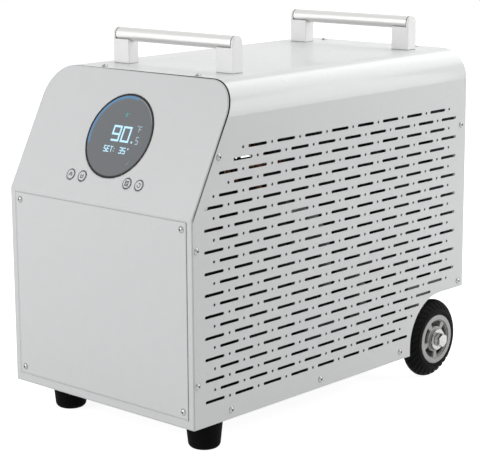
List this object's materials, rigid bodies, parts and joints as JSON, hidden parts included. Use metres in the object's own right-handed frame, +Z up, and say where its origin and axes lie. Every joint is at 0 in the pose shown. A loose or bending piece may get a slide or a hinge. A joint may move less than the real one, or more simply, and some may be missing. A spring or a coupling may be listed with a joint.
{
  "type": "ice bath chiller",
  "caption": "Floor-standing water chiller for an ice bath: perforated casing with carry handles, sloped round display, rubber feet and rear wheels.",
  "frame": {"origin": "on the floor under the middle of the whole object's bounding box", "axes": "+Z up, the front with the display towards -Y, +X to the right for someone who looks at the front"},
  "size_m": [0.4014, 0.6648, 0.5738],
  "materials": {
    "white_steel": "powder coat, satin",
    "tray_steel": "zinc plated",
    "screw_steel": "bright",
    "axle_steel": "ground",
    "handle_tube": "satin",
    "handle_post": "powder coat, satin",
    "rim_black": "gloss",
    "lens": "polished",
    "module": "moulded",
    "board": "solder mask",
    "brass": "turned",
    "cap": "satin",
    "foot_rubber": "matt",
    "tyre": "matt",
    "rim": "moulded",
    "black_metal": "black paint",
    "foam": "moulded shell",
    "pump": "moulded",
    "motor": "painted",
    "fins": "bare",
    "copper": "drawn copper",
    "hose": "smooth",
    "rocker": "gloss"
  },
  "bodies": {
    "casing": {"cover": "white_steel", "front_frame": "white_steel", "front_panel": "white_steel", "rear_panel": "white_steel", "base_tray": "black_metal", "side_screws": "screw_steel", "top_screws": "screw_steel", "front_panel_screws": "screw_steel", "rear_screws": "screw_steel", "front_handle_tube": "handle_tube", "front_handle_posts": "handle_post", "rear_handle_tube": "handle_tube", "rear_handle_posts": "handle_post", "handle_screws": "screw_steel", "display_bezel": "rim_black", "display_lens": "lens", "display_module": "module", "key_board": "board", "board_standoffs": "brass", "front_feet": "foot_rubber", "foot_bolts": "screw_steel", "axle_brackets": "tray_steel", "bracket_bolts": "screw_steel", "axle": "axle_steel", "axle_washers": "screw_steel", "axle_nuts": "screw_steel", "compressor": "black_metal", "compressor_grommets": "foot_rubber", "compressor_bolts": "screw_steel", "heat_exchanger": "foam", "pump_housing": "pump", "pump_motor": "motor", "condenser_core": "fins", "condenser_stand": "tray_steel", "fan_shroud": "foam", "fan_motor": "black_metal", "fan_guard": "black_metal", "filter_drier": "copper", "gas_pipes": "copper", "water_hoses": "hose", "water_inlet": "pump", "water_outlet": "pump", "fitting_nuts": "pump", "power_inlet": "pump", "rocker_frame": "pump", "control_box": "module", "electrics_bracket": "tray_steel"},
    "wheel_left": {"tyre_left": "tyre", "rim_left": "rim", "bearings_left": "axle_steel"},
    "wheel_right": {"tyre_right": "tyre", "rim_right": "rim", "bearings_right": "axle_steel"},
    "fan": {"fan_rotor": "foam"},
    "impeller": {"pump_impeller": "pump"},
    "up_key": {"button_up": "cap"},
    "down_key": {"button_down": "cap"},
    "mode_key": {"button_mode": "cap"},
    "power_key": {"button_power": "cap"},
    "rocker_key": {"rocker": "rocker"}
  },
  "joints": [
    {"name": "wheel_left_spin", "type": "hinge", "parent": "casing", "child": "wheel_left", "pos_m": [-0.1695, 0.23045, 0.0625], "axis": [1, 0, 0], "continuous": true},
    {"name": "wheel_right_spin", "type": "hinge", "parent": "casing", "child": "wheel_right", "pos_m": [0.1695, 0.23045, 0.0625], "axis": [1, 0, 0], "continuous": true},
    {"name": "fan_spin", "type": "hinge", "parent": "casing", "child": "fan", "pos_m": [0, 0.26045, 0.349], "axis": [0, 1, 0], "continuous": true},
    {"name": "impeller_spin", "type": "hinge", "parent": "casing", "child": "impeller", "pos_m": [0.118, 0.05545, 0.115], "axis": [0, 1, 0], "continuous": true},
    {"name": "up_press", "type": "slide", "parent": "casing", "child": "up_key", "axis": [0, 0.8862, -0.4633], "range_m": [0, 0.0008], "stiffness_N_per_m": 400},
    {"name": "down_press", "type": "slide", "parent": "casing", "child": "down_key", "axis": [0, 0.8862, -0.4633], "range_m": [0, 0.0008], "stiffness_N_per_m": 400},
    {"name": "mode_press", "type": "slide", "parent": "casing", "child": "mode_key", "axis": [0, 0.8862, -0.4633], "range_m": [0, 0.0008], "stiffness_N_per_m": 400},
    {"name": "power_press", "type": "slide", "parent": "casing", "child": "power_key", "axis": [0, 0.8862, -0.4633], "range_m": [0, 0.0008], "stiffness_N_per_m": 400},
    {"name": "rocker_tilt", "type": "hinge", "parent": "casing", "child": "rocker_key", "pos_m": [0.138, 0.29145, 0.245], "axis": [1, 0, 0], "range_deg": [-9, 9]}
  ]
}
